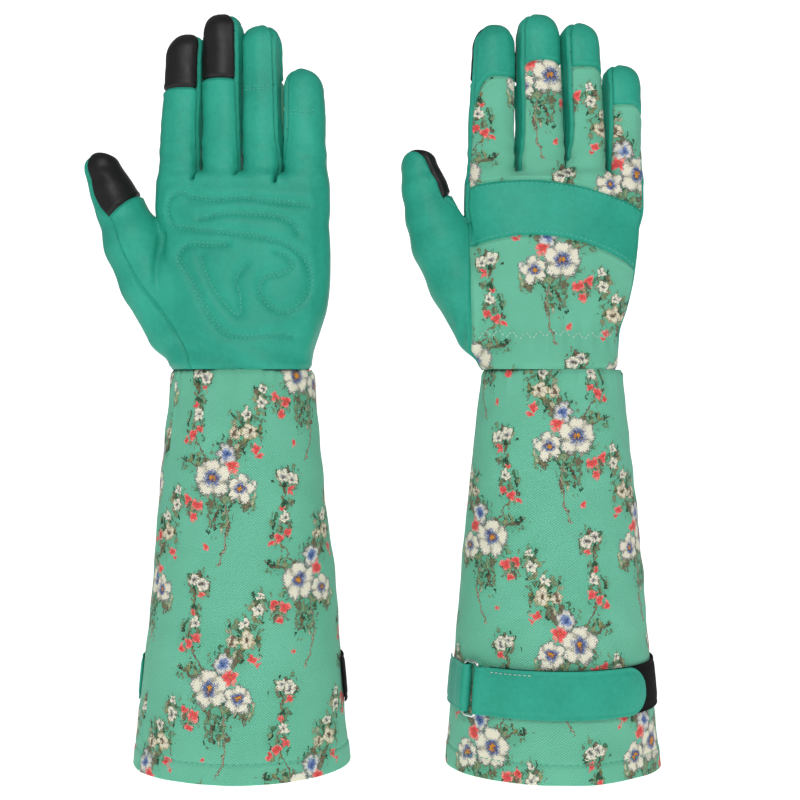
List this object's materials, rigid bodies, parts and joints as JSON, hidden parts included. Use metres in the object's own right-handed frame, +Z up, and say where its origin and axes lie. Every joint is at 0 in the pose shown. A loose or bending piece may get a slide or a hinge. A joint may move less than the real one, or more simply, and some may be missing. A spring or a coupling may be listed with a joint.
{
  "type": "gardening gloves",
  "caption": "Long-cuffed gardening gloves with leather palms, fingers and thumbs, printed cloth backs and cuffs, padded palms and a ring-and-strap fastener on each cuff.",
  "frame": {"origin": "on the ground under the middle of the pair, as it stands on its hems", "axes": "+Z up the gloves towards the fingertips, +X from the left glove to the right glove, +Y towards the left glove's back; the left palm and the right back face -Y"},
  "size_m": [0.308, 0.09, 0.3975],
  "materials": {
    "teal_leather": "soft grained synthetic leather, satin",
    "floral_twill": "printed polyester twill, matt",
    "touch_leather": "smooth conductive synthetic leather",
    "ring_steel": "bright plated wire",
    "loop_tape": "napped loop tape",
    "pad_foam": "soft foam"
  },
  "bodies": {
    "left_cuff": {"left_cuff_panel": "floral_twill", "left_strap_tab": "teal_leather", "left_strap_base": "loop_tape"},
    "left_buckle": {"left_strap_ring": "ring_steel"},
    "left_strap": {"left_strap": "teal_leather"},
    "left_hand": {"left_palm_panel": "teal_leather", "left_back_panel": "floral_twill", "left_knuckle_band": "teal_leather", "left_palm_pads": "pad_foam", "left_wrist_elastic": "floral_twill"},
    "left_thumb": {"left_thumb_leather": "teal_leather", "left_thumb_touch_tip": "touch_leather"},
    "left_index_finger": {"left_index_sidewall": "teal_leather", "left_index_cap": "teal_leather", "left_index_back": "floral_twill", "left_index_touch_tip": "touch_leather", "left_index_front": "teal_leather"},
    "left_middle_finger": {"left_middle_sidewall": "teal_leather", "left_middle_cap": "teal_leather", "left_middle_back": "floral_twill", "left_middle_touch_tip": "touch_leather", "left_middle_front": "teal_leather"},
    "left_ring_finger": {"left_ring_sidewall": "teal_leather", "left_ring_cap": "teal_leather", "left_ring_back": "floral_twill", "left_ring_front": "teal_leather"},
    "left_little_finger": {"left_little_sidewall": "teal_leather", "left_little_cap": "teal_leather", "left_little_back": "floral_twill", "left_little_front": "teal_leather"},
    "right_cuff": {"right_cuff_panel": "floral_twill", "right_strap_tab": "teal_leather", "right_strap_base": "loop_tape"},
    "right_buckle": {"right_strap_ring": "ring_steel"},
    "right_strap": {"right_strap": "teal_leather"},
    "right_hand": {"right_palm_panel": "teal_leather", "right_back_panel": "floral_twill", "right_knuckle_band": "teal_leather", "right_palm_pads": "pad_foam", "right_wrist_elastic": "floral_twill"},
    "right_thumb": {"right_thumb_leather": "teal_leather", "right_thumb_touch_tip": "touch_leather"},
    "right_index_finger": {"right_index_sidewall": "teal_leather", "right_index_cap": "teal_leather", "right_index_back": "floral_twill", "right_index_touch_tip": "touch_leather", "right_index_front": "teal_leather"},
    "right_middle_finger": {"right_middle_sidewall": "teal_leather", "right_middle_cap": "teal_leather", "right_middle_back": "floral_twill", "right_middle_touch_tip": "touch_leather", "right_middle_front": "teal_leather"},
    "right_ring_finger": {"right_ring_sidewall": "teal_leather", "right_ring_cap": "teal_leather", "right_ring_back": "floral_twill", "right_ring_front": "teal_leather"},
    "right_little_finger": {"right_little_sidewall": "teal_leather", "right_little_cap": "teal_leather", "right_little_back": "floral_twill", "right_little_front": "teal_leather"}
  },
  "joints": [
    {"name": "left_wrist_flex", "type": "hinge", "parent": "left_cuff", "child": "left_hand", "pos_m": [-0.0685, 0, 0.217], "axis": [1, 0, 0], "range_deg": [-35, 35], "deforming": ["left_wrist_elastic"]},
    {"name": "left_thumb_flex", "type": "hinge", "parent": "left_hand", "child": "left_thumb", "pos_m": [-0.13034, 0, 0.28478], "axis": [0.9311, 0, 0.3649], "range_deg": [-10, 40]},
    {"name": "left_index_flex", "type": "hinge", "parent": "left_hand", "child": "left_index_finger", "pos_m": [-0.10181, -0.004, 0.318], "axis": [1, 0, 0], "range_deg": [-10, 60]},
    {"name": "left_middle_flex", "type": "hinge", "parent": "left_hand", "child": "left_middle_finger", "pos_m": [-0.07881, -0.004, 0.318], "axis": [1, 0, 0], "range_deg": [-10, 60]},
    {"name": "left_ring_flex", "type": "hinge", "parent": "left_hand", "child": "left_ring_finger", "pos_m": [-0.0569, -0.004, 0.318], "axis": [1, 0, 0], "range_deg": [-10, 60]},
    {"name": "left_little_flex", "type": "hinge", "parent": "left_hand", "child": "left_little_finger", "pos_m": [-0.0342, -0.004, 0.318], "axis": [1, 0, 0], "range_deg": [-10, 60]},
    {"name": "left_buckle_swing", "type": "hinge", "parent": "left_cuff", "child": "left_buckle", "pos_m": [-0.11643, 0.02346, 0.04428], "axis": [0.0661, -0.0642, 0.9957], "range_deg": [0, 20]},
    {"name": "left_strap_peel", "type": "hinge", "parent": "left_buckle", "child": "left_strap", "pos_m": [-0.11085, 0.0292, 0.04428], "axis": [0.0661, -0.0642, 0.9957], "range_deg": [0, 70]},
    {"name": "right_wrist_flex", "type": "hinge", "parent": "right_cuff", "child": "right_hand", "pos_m": [0.09649, 0, 0.217], "axis": [-1, 0, 0], "range_deg": [-35, 35], "deforming": ["right_wrist_elastic"]},
    {"name": "right_thumb_flex", "type": "hinge", "parent": "right_hand", "child": "right_thumb", "pos_m": [0.03466, 0, 0.28478], "axis": [-0.9311, 0, -0.3649], "range_deg": [-10, 40]},
    {"name": "right_index_flex", "type": "hinge", "parent": "right_hand", "child": "right_index_finger", "pos_m": [0.0632, 0.004, 0.318], "axis": [-1, 0, 0], "range_deg": [-10, 60]},
    {"name": "right_middle_flex", "type": "hinge", "parent": "right_hand", "child": "right_middle_finger", "pos_m": [0.089, 0.004, 0.318], "axis": [-1, 0, 0], "range_deg": [-10, 60]},
    {"name": "right_ring_flex", "type": "hinge", "parent": "right_hand", "child": "right_ring_finger", "pos_m": [0.11299, 0.004, 0.318], "axis": [-1, 0, 0], "range_deg": [-10, 60]},
    {"name": "right_little_flex", "type": "hinge", "parent": "right_hand", "child": "right_little_finger", "pos_m": [0.13409, 0.004, 0.318], "axis": [-1, 0, 0], "range_deg": [-10, 60]},
    {"name": "right_buckle_swing", "type": "hinge", "parent": "right_cuff", "child": "right_buckle", "pos_m": [0.04857, -0.02346, 0.04428], "axis": [-0.0661, -0.0642, -0.9957], "range_deg": [0, 20]},
    {"name": "right_strap_peel", "type": "hinge", "parent": "right_buckle", "child": "right_strap", "pos_m": [0.05415, -0.0292, 0.04428], "axis": [-0.0661, -0.0642, -0.9957], "range_deg": [0, 70]},
    {"name": "right_glove_slide", "type": "slide", "parent": "left_cuff", "child": "right_cuff", "axis": [1, 0, 0], "range_m": [0, 0.2]}
  ]
}
